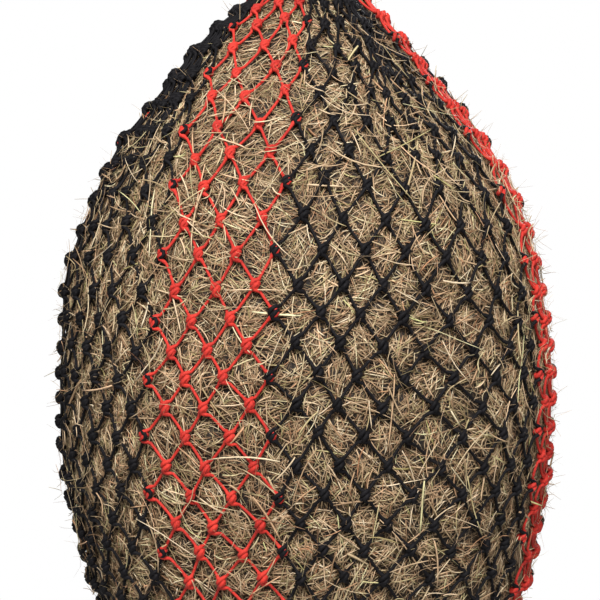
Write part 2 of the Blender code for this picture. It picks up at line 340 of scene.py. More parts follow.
def neck_shift(u):
    """How far the neck moves a half-mesh line round the bag, in degrees."""
    wrapped = (u - _neck_u[0]) % HALF_MESHES + _neck_u[0]
    return np.interp(wrapped, _neck_u, _neck_angle) - FIRST_RED_EDGE - wrapped * HALF_ANGLE


def bunching(u):
    """Over 0 where the neck squeezes the meshes together, which makes them stand out in a fold."""
    spread = (neck_shift(u + 1.5) - neck_shift(u - 1.5)) / 3 / HALF_ANGLE
    return np.clip(-spread, -0.5, 1)


def lumps(angle, s):
    """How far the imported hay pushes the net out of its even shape."""
    height = height_at(s)
    out = np.zeros(np.broadcast(angle, s).shape)
    for middle, level, wide, tall, amount in LUMPS:
        aside = (angle - middle + 180) % 360 - 180
        out += amount * np.exp(-((aside / wide) ** 2) - ((height - level) / tall) ** 2)
    return out


def lattice(u, v):
    """The angle and the distance down the bag of a place on the mesh, and how far folds move it out."""
    s = np.interp(v, np.arange(LAST_ROW + 1), ROWS)
    share = neck_share(s)
    angle = FIRST_RED_EDGE + u * HALF_ANGLE + share * neck_shift(u)
    angle = angle + from_table(ANGLE_NOISE, u, v) * (1 + NECK_UNEVEN_ANGLE * share)
    for middle, wide, amount in DRIFTS:
        angle += amount * (1 - share) * np.exp(-(((angle - middle) / wide) ** 2))
    calm = np.clip(radius_at(s) / 0.12, 0.2, 1)  # the rows are more even where the bag is narrow
    s_here = s + from_table(DOWN_NOISE, u, v) * calm * (1 + NECK_UNEVEN_DOWN * share)
    middle, wide, amount = FRONT_LIFT
    drawn = np.exp(-(((angle - middle) / wide) ** 2)) * np.clip(radius_at(s) / 0.2, 0, 1)
    s_here -= amount * (1 - share) * drawn
    s_here -= share * np.interp((u + 16) % HALF_MESHES - 16, *zip(*NECK_LIFTS))
    out = from_table(HEIGHT_NOISE, u, v) * (1 + NECK_UNEVEN_OUT * share)
    out = out + NECK_FOLD * share * bunching(u)
    return angle, s_here, out + lumps(angle, s)


def mesh_point(u, v, depth):
    angle, s, out = lattice(u, v)
    return surface(angle, s, depth + out)


def per_mesh(u, v, seed):
    """A number from 0 to 1 for the mesh opening that holds a place, the same all over it."""
    p = np.floor((u + v) / 2)
    q = np.floor((u - v) / 2)
    mixed = np.sin(((p + q) % HALF_MESHES) * 12.9898 + (p - q) * 78.233 + seed) * 43758.5453
    return mixed - np.floor(mixed)


def pillow(u, v):
    """The hay's depth: it swells in the middle of each mesh and is drawn in under the twines."""
    p = (u + v) / 2
    q = (u - v) / 2
    shape = (np.abs(np.sin(math.pi * p)) * np.abs(np.sin(math.pi * q))) ** 0.45
    s = np.interp(v, np.arange(LAST_ROW + 1), ROWS)
    roominess = np.clip((radius_at(s) - 0.02) / 0.16, 0.15, 1)
    side = np.sin(np.radians(FIRST_RED_EDGE + u * HALF_ANGLE)) ** 2
    swell = (0.7 + 0.6 * per_mesh(u, v, 1.7)) * (1 - FLAT_SIDES * side)
    return VALLEY_DEPTH + (PILLOW_DEPTH - VALLEY_DEPTH) * shape * roominess * swell


# --- Meshes made of tubes ---
def unit(vectors):
    return vectors / np.maximum(np.linalg.norm(vectors, axis=-1, keepdims=True), 1e-12)


def frames_along(paths):
    """Two directions square to each path at each of its points, carried along it without twist."""
    tangents = unit(np.gradient(paths, axis=1))
    first = np.cross(tangents[:, 0], np.array([0.31, 0.45, 0.84]))
    normal = unit(first)
    normals = np.empty_like(paths)
    for i in range(paths.shape[1]):
        normal = unit(normal - (normal * tangents[:, i]).sum(-1, keepdims=True) * tangents[:, i])
        normals[:, i] = normal
    return normals, np.cross(tangents, normals)


def bake_places(count, steps, sides):
    """Where many tubes' corners lie on the bake map. Each tube has its own square, its sides abreast."""
    grid = math.ceil(math.sqrt(count))
    cell = 0.94 / grid
    corner = np.stack([np.arange(count) % grid, np.arange(count) // grid], -1) / grid + 0.03 / grid
    across = np.arange(sides) / sides
    along = np.arange(steps - 1) / (steps - 1)
    places = np.empty((count, steps - 1, sides, 4, 2))
    for k, (du, dv) in enumerate(((0, 0), (1, 0), (1, 1), (0, 1))):
        places[..., k, 0] = corner[:, None, None, 0] + cell * (across[None, None, :] + du / sides)
        places[..., k, 1] = corner[:, None, None, 1] + cell * (along[None, :, None] + dv / (steps - 1))
    middle = corner + cell / 2
    cap_places = np.repeat(np.concatenate([middle, middle])[:, None], sides, 1)
    return places.reshape(-1, 2), cap_places.reshape(-1, 2)


def tube_faces(count, steps, sides):
    """Quads and end caps of many tubes, each made of steps rings of sides points."""
    index = np.arange(count * steps * sides).reshape(count, steps, sides)
    around = np.roll(index, -1, axis=2)
    quads = np.stack([index[:, :-1], around[:, :-1], around[:, 1:], index[:, 1:]], -1)
    return quads.reshape(-1, 4), np.concatenate([index[:, 0, ::-1], index[:, -1]])


def closed_tube_faces(steps, sides):
    """Quads, caps and bake places of one tube whose end joins its start, so it has no caps."""
    index = np.arange(steps * sides).reshape(steps, sides)
    around = np.roll(index, -1, axis=1)
    after = np.roll(index, -1, axis=0)
    quads = np.stack([index, around, np.roll(around, -1, axis=0), after], -1).reshape(-1, 4)
    return quads, np.empty((0, sides), int), bake_places(1, steps + 1, sides)[0]


def tube_parts(paths, radii, sides):
    """Points, quads and caps of many tubes with the same number of points."""
    count, steps = paths.shape[:2]
    normals, binormals = frames_along(paths)
    turn = 2 * math.pi * np.arange(sides) / sides
    ring = normals[:, :, None] * np.cos(turn)[:, None] + binormals[:, :, None] * np.sin(turn)[:, None]
    points = paths[:, :, None] + ring * radii[:, :, None, None]
    return points.reshape(-1, 3), *tube_faces(count, steps, sides)


def object_from(name, points, quads, caps, places, material, tones=None, hues=None):
    """A mesh object. Places are the corners' spots on the bake map. Tones and hues colour each point."""
    mesh = bpy.data.meshes.new(name)
    mesh.vertices.add(len(points))
    mesh.vertices.foreach_set("co", points.astype(np.float32).ravel())
    corners = np.concatenate([quads.ravel(), caps.ravel()]).astype(np.int32)
    sides = caps.shape[1] if len(caps) else 4
    starts = np.concatenate([np.arange(len(quads)) * 4, len(quads) * 4 + np.arange(len(caps)) * sides])
    mesh.loops.add(len(corners))
    mesh.loops.foreach_set("vertex_index", corners)
    mesh.polygons.add(len(starts))
    mesh.polygons.foreach_set("loop_start", starts.astype(np.int32))
    mesh.update(calc_edges=True)
    if places is not None:
        layer = mesh.uv_layers.new(name="OFBake")
        layer.data.foreach_set("uv", places.astype(np.float32).ravel())
    for title, values in (("tone", tones), ("hue", hues)):
        if values is not None:
            attribute = mesh.attributes.new(title, "FLOAT", "POINT")
            attribute.data.foreach_set("value", values.astype(np.float32))
    mesh.shade_smooth()
    mesh.materials.append(material)
    obj = bpy.data.objects.new(name, mesh)
    scene.collection.objects.link(obj)
    return obj


def smooth_route(points, count):
    """count points, evenly spaced by length, on a smooth curve through the route's points."""
    points = np.array(points, float)
    padded = np.vstack([2 * points[0] - points[1], points, 2 * points[-1] - points[-2]])
    t = np.linspace(0, 1, 40, endpoint=False)[:, None]
    fine = []
    for a, b, c, d in zip(padded, padded[1:], padded[2:], padded[3:]):
        curve = 2 * b + (c - a) * t + (2 * a - 5 * b + 4 * c - d) * t**2 + (3 * b - a - 3 * c + d) * t**3
        fine.append(curve / 2)
    fine.append(points[-1:])
    return even_steps(np.concatenate(fine), count)[0]


def rope_mesh(name, path, diameter, material, closed=False, radii=None):
    """A braided cord: two sets of strands wind round it and cross in raised diamonds."""
    sides = 20
    steps = len(path)
    around_path = np.concatenate([path[-2:], path, path[:2]]) if closed else path
    normals, binormals = frames_along(around_path[None])
    if closed:
        normals = normals[:, 2:-2]
        binormals = binormals[:, 2:-2]
    lengths = np.linalg.norm(np.roll(path, -1, axis=0) - path, axis=1)
    along = np.concatenate([[0], np.cumsum(lengths[:-1])])
    whole = lengths.sum() if closed else along[-1]
    plaits = max(round(whole / (0.75 * diameter)), 1)
    turn = 2 * math.pi * np.arange(sides)[None, :] / sides
    wind = 2 * math.pi * plaits * along[:, None] / whole
    raised = np.sin(STRANDS * turn + wind) * np.sin(STRANDS * turn - wind)
    radius = diameter / 2 * (1 - BRAID_RELIEF + BRAID_RELIEF * raised)
    if radii is not None:
        radius = radius * radii[:, None]
    ring = normals[0][:, None] * np.cos(turn)[..., None] + binormals[0][:, None] * np.sin(turn)[..., None]
    points = (path[:, None] + ring * radius[..., None]).reshape(-1, 3)
    if closed:
        quads, caps, places = closed_tube_faces(steps, sides)
    else:
        quads, caps = tube_faces(1, steps, sides)
        places = np.concatenate(bake_places(1, steps, sides))
    return object_from(name, points, quads, caps, places, material)


def stacked_faces(rings, sides):
    """Quads and end caps of a turned surface whose rings of points run from top to bottom."""
    index = np.arange(rings * sides).reshape(rings, sides)
    right = np.roll(index, -1, axis=1)
    quads = np.stack([index[:-1], index[1:], right[1:], right[:-1]], -1).reshape(-1, 4)
    return quads, np.stack([index[0], index[-1, ::-1]])


def pleated_mesh(name, profile, pleats, depth, twist, material):
    """A turned surface gathered in pleats. The profile is (radius, height) points from top to bottom."""
    profile = smooth_route(profile, 40)
    sides = 8 * pleats
    turn = 2 * math.pi * np.arange(sides)[None, :] / sides
    level = np.linspace(0, 1, len(profile))[:, None]
    radius = profile[:, :1] * (1 + depth * (np.abs(np.sin(pleats * turn / 2 + twist * level)) - 1))
    points = around_axis(radius, turn, profile[:, 1:]).reshape(-1, 3)
    return object_from(name, points, *stacked_faces(len(profile), sides), None, material)


# --- Materials ---
class Shader:
    """A material's node tree, with short calls for the nodes it uses."""

    def __init__(self, name):
        self.material = bpy.data.materials.new(name)
        self.material.use_nodes = True
        self.tree = self.material.node_tree
        self.principled = self.tree.nodes["Principled BSDF"]

    def node(self, kind, **settings):
        made = self.tree.nodes.new(kind)
        for key, value in settings.items():
            if key.startswith("in_"):
                made.inputs[key[3:].replace("_", " ")].default_value = value
            else:
                setattr(made, key, value)
        return made

    def link(self, source, target):
        self.tree.links.new(source, target)

    def noise(self, scale, detail=3.0, stretch=None):
        coordinates = self.node("ShaderNodeTexCoord").outputs["Object"]
        if stretch is not None:
            mapping = self.node("ShaderNodeMapping", in_Scale=stretch)
            self.link(coordinates, mapping.inputs["Vector"])
            coordinates = mapping.outputs["Vector"]
        noise = self.node("ShaderNodeTexNoise", in_Scale=scale, in_Detail=detail)
        self.link(coordinates, noise.inputs["Vector"])
        return noise.outputs["Fac"]

    def ramp(self, source, stops):
        ramp = self.node("ShaderNodeValToRGB")
        elements = ramp.color_ramp.elements
        while len(elements) < len(stops):
            elements.new(0.5)
        for element, (place, colour) in zip(elements, stops):
            element.position = place
            element.color = (*colour, 1.0)
        self.link(source, ramp.inputs["Fac"])
        return ramp.outputs["Color"]

    def math(self, operation, a, b):
        made = self.node("ShaderNodeMath", operation=operation)
        for socket, value in zip(made.inputs, (a, b)):
            if isinstance(value, (int, float)):
                socket.default_value = value
            else:
                self.link(value, socket)
        return made.outputs["Value"]

    def colour(self, source):
        self.link(source, self.principled.inputs["Base Color"])

    def roughness(self, source, low, high):
        spread = self.node("ShaderNodeMapRange", in_To_Min=low, in_To_Max=high)
        self.link(source, spread.inputs["Value"])
        self.link(spread.outputs["Result"], self.principled.inputs["Roughness"])

    def bump(self, source, strength, distance):
        bump = self.node("ShaderNodeBump", in_Strength=strength, in_Distance=distance)
        self.link(source, bump.inputs["Height"])
        self.link(bump.outputs["Normal"], self.principled.inputs["Normal"])


# Stalk colours from dark to pale. The dark end serves mostly as painted shade for stalks that lie deep in
# the hay.
STALK_TONES = [
    (0.00, (0.020, 0.013, 0.008)),
    (0.16, (0.075, 0.046, 0.026)),
    (0.34, (0.200, 0.130, 0.076)),
    (0.54, (0.350, 0.246, 0.150)),
    (0.74, (0.500, 0.376, 0.245)),
    (0.88, (0.640, 0.515, 0.360)),
    (1.00, (0.780, 0.680, 0.510)),
]
STALK_HUES = [
    (0.00, (0.78, 0.92, 0.54)),
    (0.28, (0.92, 0.98, 0.80)),
    (0.50, (1.00, 0.97, 0.92)),
    (0.72, (1.00, 0.86, 0.76)),
    (1.00, (0.94, 0.60, 0.46)),
]
# Colours of the hay under the stalks: mostly near black, painted shade for the gaps between stalks.
DEPTH_SHADE_TONES = [
    (0.14, (0.006, 0.004, 0.003)),
    (0.26, (0.022, 0.014, 0.009)),
    (0.38, (0.080, 0.052, 0.030)),
    (0.52, (0.170, 0.118, 0.070)),
]


def stalk_material(name, patchiness=0.16):
    shader = Shader(name)
    tone = shader.node("ShaderNodeAttribute", attribute_name="tone").outputs["Fac"]
    hue = shader.node("ShaderNodeAttribute", attribute_name="hue").outputs["Fac"]
    patch = shader.math("MULTIPLY", shader.math("SUBTRACT", shader.noise(9.0), 0.5), patchiness)
    fleck = shader.math("MULTIPLY", shader.math("SUBTRACT", shader.noise(420.0, 2.0), 0.5), 0.25)
    mixed = shader.math("ADD", shader.math("ADD", tone, patch), fleck)
    tint = shader.node("ShaderNodeMix", data_type="RGBA", blend_type="MULTIPLY")
    tint.inputs["Factor"].default_value = 1.0
    shader.link(shader.ramp(mixed, STALK_TONES), tint.inputs[6])
    shader.link(shader.ramp(hue, STALK_HUES), tint.inputs[7])
    shader.colour(tint.outputs[2])
    shader.roughness(shader.noise(300.0), 0.45, 0.8)
    shader.principled.inputs["Specular IOR Level"].default_value = 0.35
    return shader.material


def hay_body_material():
    shader = Shader("hay_depth_shade")
    strands = shader.noise(330.0, 5.0, (1.0, 1.0, 0.35))
    tangle = shader.noise(520.0, 4.0, (0.5, 0.8, 1.3))
    mixed = shader.math("MULTIPLY", strands, tangle)
    # Painted shade: the hay under the stalks is coloured dark, with a few strands of dark hay brown.
    shader.colour(shader.ramp(mixed, DEPTH_SHADE_TONES))
    shader.roughness(tangle, 0.75, 0.95)
    shader.bump(mixed, 0.8, 0.003)
    return shader.material


def twine_material(name, dark, light, sheen, gloss):
    """Braided twine: a fine ribbed bump, fuzz and slight fading."""
    shader = Shader(name)
    fibres = shader.noise(900.0, 3.0, (1.0, 1.0, 0.5))
    fade = shader.noise(48.0, 2.0)
    mixed = shader.math("ADD", shader.math("MULTIPLY", fibres, 0.6), shader.math("MULTIPLY", fade, 0.4))
    shader.colour(shader.ramp(mixed, [(0.3, dark), (0.7, light)]))
    shader.roughness(fibres, 0.5, 0.8)
    shader.bump(fibres, 0.7, 0.0008)
    shader.principled.inputs["Specular IOR Level"].default_value = gloss
    shader.principled.inputs["Sheen Weight"].default_value = sheen
    shader.principled.inputs["Sheen Roughness"].default_value = 0.4
    return shader.material


def steel_material():
    shader = Shader("ring_steel")
    wear = shader.noise(160.0, 5.0)
    shader.colour(shader.ramp(wear, [(0.35, (0.42, 0.41, 0.39)), (0.65, (0.66, 0.66, 0.65))]))
    shader.roughness(wear, 0.18, 0.42)
    shader.bump(shader.noise(700.0), 0.08, 0.0004)
    shader.principled.inputs["Metallic"].default_value = 1.0
    return shader.material


STALKS = stalk_material("hay_stalks")
LOOSE_STALKS = stalk_material("hay_loose_stalks", 0.08)
HAY_DEPTH_SHADE = hay_body_material()
BLACK_TWINE = twine_material("twine_black", (0.0015, 0.0015, 0.002), (0.010, 0.009, 0.011), 0.015, 0.12)
RED_TWINE = twine_material("twine_red", (0.24, 0.010, 0.009), (0.66, 0.044, 0.028), 0.05, 0.2)
BLACK_ROPE = twine_material("rope_black", (0.003, 0.003, 0.0035), (0.014, 0.013, 0.015), 0.04, 0.2)
STEEL = steel_material()


# --- Hay ---
def add_hay_body():
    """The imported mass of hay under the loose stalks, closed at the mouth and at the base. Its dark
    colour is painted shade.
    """
    around = 4 * HALF_MESHES
    down = 6 * LAST_ROW
    u = np.arange(around) / 4
    v = np.linspace(0, LAST_ROW, down + 1)
    uu, vv = np.meshgrid(u, v)
    depth = pillow(uu, vv) - 0.0015
    points = mesh_point(uu, vv, depth).reshape(-1, 3)
    obj = object_from("hay_body", points, *stacked_faces(down + 1, around), None, HAY_DEPTH_SHADE)
    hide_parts("hay_neck", "hay_upper", "hay_lower")
    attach(obj, "net")


def spread_places(count, random):
    """(u, v) places spread evenly over the bag."""
    grown = np.concatenate([[0], np.cumsum((PROFILE[1:, 0] + PROFILE[:-1, 0]) / 2)])
    s = np.interp(random.uniform(0, grown[-1], count), grown, DOWN)
    return random.uniform(0, HALF_MESHES, count), np.interp(s, ROWS, np.arange(LAST_ROW + 1))


def packed_paths(u, v, lengths, headings, bends, layer, lifts, inside):
    """Stalks that lie along the hay, and their outward directions. Inside ones keep to their mesh."""
    s = np.interp(v, np.arange(LAST_ROW + 1), ROWS)
    width = radius_at(s) * math.radians(HALF_ANGLE)
    height = np.interp(v, np.arange(LAST_ROW) + 0.5, np.diff(ROWS))
    # Along the directions of the mesh's two bars: where the stalk's middle is, and half its reach.
    middle = np.stack([u + v, u - v]) / 2
    du = np.cos(headings) / width
    dv = np.sin(headings) / height
    reach = lengths / 4 * np.stack([du + dv, du - dv])
    room = 0.5 - MESH_MARGIN
    shrink = np.minimum(1, room / np.abs(reach).max(0))
    reach *= np.where(inside, shrink, 1)
    opening = np.floor(middle) + 0.5
    slack = np.maximum(room - np.abs(reach), 0)
    p, q = np.where(inside, opening + (middle - opening) * 2 * slack, middle)[..., None]
    reach_p, reach_q = reach[..., None]
    t = np.linspace(-1, 1, STALK_STEPS)[None, :]
    bow = bends[:, None] * (t * t - 1)
    pp = p + reach_p * t + reach_q * bow
    qq = q + reach_q * t - reach_p * bow
    uu = pp + qq
    vv = np.clip(pp - qq, 0.02, LAST_ROW - 0.02)
    rise = np.where(t < 0, lifts[:, :1], lifts[:, 1:]) * np.abs(t) ** 2
    paths = mesh_point(uu, vv, pillow(uu, vv) + layer[:, None] + rise)
    kept = np.clip(v, 0.5, LAST_ROW - 0.5)
    outs = unit(mesh_point(u, kept, 0.01) - mesh_point(u, kept, 0.0))
    return paths, outs


def blades(name, paths, outs, widths, material, tones, hues):
    """One object of many flat stalks, each with a low ridge on its outer face."""
    count, steps = paths.shape[:2]
    tangents = unit(np.gradient(paths, axis=1))
    side = unit(np.cross(tangents, outs[:, None]))
    ridge = np.cross(side, tangents)
    wide = widths[..., None]
    ring = np.stack([side * wide, ridge * wide * 0.55, -side * wide], 2)
    points = (paths[:, :, None] + ring).reshape(-1, 3)
    quads, caps = tube_faces(count, steps, 3)
    places = np.concatenate(bake_places(count, steps, 3))
    tones = np.repeat(tones, steps * 3)
    hues = np.repeat(hues, steps * 3)
    return object_from(name, points, quads, caps, places, material, tones, hues)


def stalk_hues(count, random):
    """0 for a green stalk, 0.5 for a tan one and 1 for a red-brown one."""
    return np.clip(random.normal(0.52, 0.19, count), 0, 1)


def add_stalks(sectors=10, each=9600):
    """The mass of short hay stalks, in sectors round the bag."""
    random = np.random.default_rng(21)
    count = sectors * each
    u, v = spread_places(count, random)
    order = np.argsort(u)
    u = u[order]
    v = v[order]
    heading = math.pi * per_mesh(u, v, 4.2) + random.normal(0, 0.8, count)
    lengths = np.clip(random.lognormal(math.log(0.0175), 0.45, count), 0.006, 0.046)
    bends = random.normal(0, 0.10, count)
    lifts = random.exponential(0.0009, (count, 2))
    high = random.uniform(0, 1, count)
    layer = -0.0020 + 0.0036 * high
    inside = random.uniform(0, 1, count) < 0.36
    paths, outs = packed_paths(u, v, lengths, heading, bends, layer, lifts, inside)
    outs = unit(outs + random.normal(0, 0.45, outs.shape))
    widths = random.lognormal(math.log(0.00047), 0.32, count)[:, None] * np.array([0.55, 1.0, 0.95, 0.5])
    # Painted shade: a stalk that lies deeper is coloured darker; the rest of its tone differs at random.
    tones = np.clip(0.46 * high + 0.80 * random.beta(1.4, 2.2, count) - 0.03, 0.02, 0.98)
    hues = stalk_hues(count, random)
    for k in range(sectors):
        part = slice(k * each, (k + 1) * each)
        name = f"hay_stalks_{k + 1:02d}"
        obj = blades(name, paths[part], outs[part], widths[part], STALKS, tones[part], hues[part])
        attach(obj, "net")


# Where hay has worked out over the net: angle, height, reach in degrees, reach in metres, weight.
TUFTS = [
    (38, -0.420, 9, 0.040, 0.05),
    (22, -0.345, 9, 0.035, 0.03),
    (-27, -0.500, 8, 0.050, 0.07),
    (-58, -0.560, 10, 0.040, 0.04),
    (-60, -0.380, 10, 0.040, 0.05),
    (-20, -0.330, 9, 0.035, 0.05),
    (12, -0.760, 16, 0.060, 0.07),
    (76, -0.500, 9, 0.070, 0.04),
    (140, -0.450, 20, 0.080, 0.13),
    (210, -0.650, 25, 0.100, 0.13),
]


def loose_places(count, tufted, random):
    """Angles and distances down the bag, part of them gathered in tufts."""
    u, v = spread_places(count, random)
    angle, s, _ = lattice(u, v)
    tufts = np.array(TUFTS)
    table = tufts[random.choice(len(tufts), count, p=tufts[:, 4] / tufts[:, 4].sum())]
    gathered = random.uniform(0, 1, count) < tufted
    tuft_angle = table[:, 0] + table[:, 2] * random.normal(0, 1, count)
    tuft_s = down_at(table[:, 1] + table[:, 3] * random.normal(0, 1, count))
    return np.where(gathered, tuft_angle, angle), np.where(gathered, tuft_s, s)


def add_loose_stalks():
    """Stalks that lie over the twines, and fine wisps that stand out of the bag."""
    random = np.random.default_rng(33)
    for name, count, tufted, length, spread, wide, low, high, lift, pale in (
        ("hay_loose_stalks", 2300, 0.28, 0.026, 0.38, 0.00062, -0.0050, 0.0005, 0.0022, 0.72),
        ("hay_long_stalks", 360, 0.35, 0.050, 0.28, 0.00066, -0.0030, 0.0020, 0.0028, 0.84),
        ("hay_wisps", 2400, 0.1, 0.021, 0.45, 0.00021, -0.0040, 0.0025, 0.0060, 0.60),
    ):
        angle, s = loose_places(count, tufted, random)
        heading = random.uniform(0, math.pi, count)[:, None]
        lengths = np.clip(random.lognormal(math.log(length), spread, count), 0.010, 0.095)
        bends = random.normal(0, 0.05, count)
        t = np.linspace(-0.5, 0.5, LOOSE_STEPS)[None, :]
        along = lengths[:, None] * t
        aside = lengths[:, None] * bends[:, None] * (4 * t * t - 1)
        dx = along * np.cos(heading) - aside * np.sin(heading)
        dy = along * np.sin(heading) + aside * np.cos(heading)
        lifts = random.exponential(lift, (count, 2))
        rise = np.where(t < 0, lifts[:, :1], lifts[:, 1:]) * np.abs(2 * t) ** 1.6
        depth = random.uniform(low, high, count)[:, None] + rise + lumps(angle, s)[:, None]
        depth = np.minimum(depth, MOST_STRAY)
        turn = angle[:, None] + np.degrees(dx / np.maximum(radius_at(s), 0.04)[:, None])
        paths = surface(turn, s[:, None] + dy, depth)
        outs = unit(surface(angle, s, 0.01) - surface(angle, s, 0.0) + random.normal(0, 0.004, (count, 3)))
        taper = np.interp(np.linspace(0, 1, LOOSE_STEPS), [0, 0.15, 0.8, 1], [0.6, 1, 0.9, 0.45])
        widths = random.lognormal(math.log(wide), 0.32, count)[:, None] * taper
        tones = np.clip(random.normal(pale, 0.13, count), 0.2, 1)
        obj = blades(name, paths, outs, widths, LOOSE_STALKS, tones, stalk_hues(count, random))
        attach(obj, "net")


def add_mouth_stalks(count=260):
    """Ends of hay that poke up through the drawn mouth, in the middle of the drawcord's ring."""
    random = np.random.default_rng(45)
    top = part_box("mouth_gather")[1].z
    reach = (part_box("mouth_drawcord")[1].x - ROPE) * 0.8
    turn = random.uniform(0, 2 * math.pi, count)
    radius = reach * np.sqrt(random.uniform(0, 1, count))
    foot = around_axis(radius, turn, top - 0.002)
    ways = [random.normal(0, 1, count), random.normal(0, 1, count), random.uniform(0.1, 0.5, count)]
    way = np.stack(ways, -1)
    t = np.linspace(-0.5, 0.5, LOOSE_STEPS)[None, :, None]
    lengths = random.uniform(0.008, 0.020, count)[:, None, None]
    paths = foot[:, None] + unit(way)[:, None] * lengths * t
    # A stalk stays inside the drawcord's ring and doesn't reach down through the bunched net.
    flat = np.linalg.norm(paths[..., :2], axis=-1, keepdims=True)
    paths[..., :2] *= np.minimum(1, reach * 1.15 / np.maximum(flat, 1e-6))
    paths[..., 2] = np.maximum(paths[..., 2], top - 0.0022)
    outs = unit(np.array([0, 0, 1.0]) + random.normal(0, 0.3, (count, 3)))
    widths = np.full((count, LOOSE_STEPS), 0.0004)
    tones = np.clip(random.normal(0.6, 0.2, count), 0.1, 1)
    obj = blades("hay_mouth_stalks", paths, outs, widths, LOOSE_STALKS, tones, stalk_hues(count, random))
    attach(obj, "mouth")


# --- The knotted twines ---
# A knot's two passes, in millimetres: right, towards the mouth, and outwards. One twine makes a bight
# from the left, and the other comes from the right and wraps round it.
BIGHT = np.array([
    (-2.9, 4.4, 0.2), (-0.6, 3.3, 1.1), (2.1, 2.3, 1.4), (3.3, 0.0, 1.0),
    (2.1, -2.3, 1.0), (-0.8, -3.4, 0.9), (-3.1, -4.6, 0.2),
])
WRAP = np.array([
    (2.9, 5.5, 0.4), (1.0, 4.6, 2.2), (-1.9, 2.5, 3.3), (-3.5, -0.2, 1.6),
    (-2.7, -1.9, -1.2), (0.2, -0.4, -2.6), (3.0, 1.6, -1.2), (3.6, 2.0, 1.3),
    (1.5, -0.5, 3.6), (-1.3, -3.3, 3.1), (-0.7, -5.2, 1.5), (2.7, -5.8, 0.3),
])
PROUD = np.array([0.9, 0.7, 1.9])  # how far a black bight stands out of a red wrap
KNOT_SWELL = 1.3  # of the twine's diameter, where it is bent round in a knot
BAR_SLIMNESS = 0.86  # the same, where it is pulled straight
BAR_SHARES = (0.25, 0.4, 0.6, 0.75)


def twine_path(line):
    """The path and the radii of the twine that zigzags between half-mesh lines line and line + 1."""
    rows = np.arange(LAST_ROW + 1)
    left = (line + rows) % 2 == 0
    u = np.where(left, line, line + 1).astype(float)
    centres = mesh_point(u, rows.astype(float), KNOT_DEPTH)
    angle, s, _ = lattice(u, rows.astype(float))
    turn = np.radians(angle)
    right = np.stack([np.cos(turn), np.sin(turn), np.zeros_like(turn)], -1)
    out = unit(surface(angle, s, 0.01) - surface(angle, s, 0.0))
    up = unit(np.cross(out, right))
    points = []
    radii = []
    for j in rows:
        shape = WRAP if left[j] else BIGHT
        if not left[j] and u[j] % (2 * BAND_COLUMNS) == 0:
            # On a red band's left edge the black bight shows through the red turns.
            shape = shape + PROUD
        # Both twines of a knot see the same turn and size.
        lean = 0.16 * math.sin(5.1 * j + 1.7 * (u[j] % HALF_MESHES))
        size = 0.001 * (1 + 0.09 * math.sin(7.3 * j + 2.1 * (u[j] % HALF_MESHES)))
        size *= float(np.clip(radius_at(s[j]) / 0.05, 0.6, 1))
        turned_right = math.cos(lean) * right[j] + math.sin(lean) * up[j]
        turned_up = math.cos(lean) * up[j] - math.sin(lean) * right[j]
        points.append(centres[j] + size * shape @ np.stack([turned_right, turned_up, out[j]]))
        radii.append(np.full(len(shape), TWINE / 2 * KNOT_SWELL))
        if j == LAST_ROW:
            break
        for share in BAR_SHARES:
            sag = 4 * share * (1 - share) * (BAR_DEPTH - KNOT_DEPTH)
            place = centres[j] * (1 - share) + centres[j + 1] * share + sag * out[j]
            points.append(place[None])
        radii.append(np.full(len(BAR_SHARES), TWINE / 2 * BAR_SLIMNESS))
    return np.concatenate(points), np.concatenate(radii)


def add_twines():
    reds = 0
    blacks = 0
    for column in range(MESHES_ROUND):
        red = column % BAND_COLUMNS < RED_COLUMNS
        if red:
            reds += 1
            name = f"red_mesh_column_{reds:02d}"
        else:
            blacks += 1
            name = f"black_mesh_column_{blacks:02d}"
        parts = []
        for line in (2 * column, 2 * column + 1):
            path, radii = twine_path(line)
            parts.append(tube_parts(path[None], radii[None], 6))
        offset = len(parts[0][0])
        points = np.concatenate([parts[0][0], parts[1][0]])
        quads = np.concatenate([parts[0][1], parts[1][1] + offset])
        caps = np.concatenate([parts[0][2], parts[1][2] + offset])
        material = RED_TWINE if red else BLACK_TWINE
        obj = object_from(name.replace("mesh_column", "twines"), points, quads, caps, None, material)
        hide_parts(name)
        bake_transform(obj)


# --- The drawcord, from its loop down to the mouth ---
def route_ends():
    """Heights where the hanging loop leaves its knot and where the legs meet it and the mouth's ring."""
    loop_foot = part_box("hanging_loop")[0].z
    leg_low, leg_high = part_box("drawcord_leg_left")
    return loop_foot, leg_high.z, leg_low.z


def place(obj, body, slot, *nodes):
    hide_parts(*nodes)
    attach(obj, body)


def add_ball(name, radius, centre, segments, material):
    bpy.ops.mesh.primitive_uv_sphere_add(
        segments=segments, ring_count=segments // 2, radius=radius, location=centre
    )
    ball = bpy.context.active_object
    ball.name = name
    ball.data.shade_smooth()
    ball.data.materials.append(material)
    return ball


def add_hanging_loop():
    """The bight above the knot: up one side, over the crown, and down the other."""
    foot = route_ends()[0]
    side = [
        (ROPE_OFFSET - 0.0007, foot - ROPE_IN_KNOT - 0.001),
        (ROPE_OFFSET, foot),
        (ROPE_OFFSET + 0.0015, foot + 0.008),
        (0.0125, foot + 0.026),
        (0.0200, -0.024),
        (0.0180, -0.0085),
        (0.0095, ROPE / 2 - 0.002),
    ]
    route = [(-x, 0, z) for x, z in side] + [(0, 0, ROPE / 2)] + [(x, 0, z) for x, z in reversed(side)]
    path = smooth_route(route, 240)
    loop = rope_mesh("rope_loop", path, ROPE, BLACK_ROPE)
    place(loop, "hanging_loop", "black_rope", "hanging_loop")


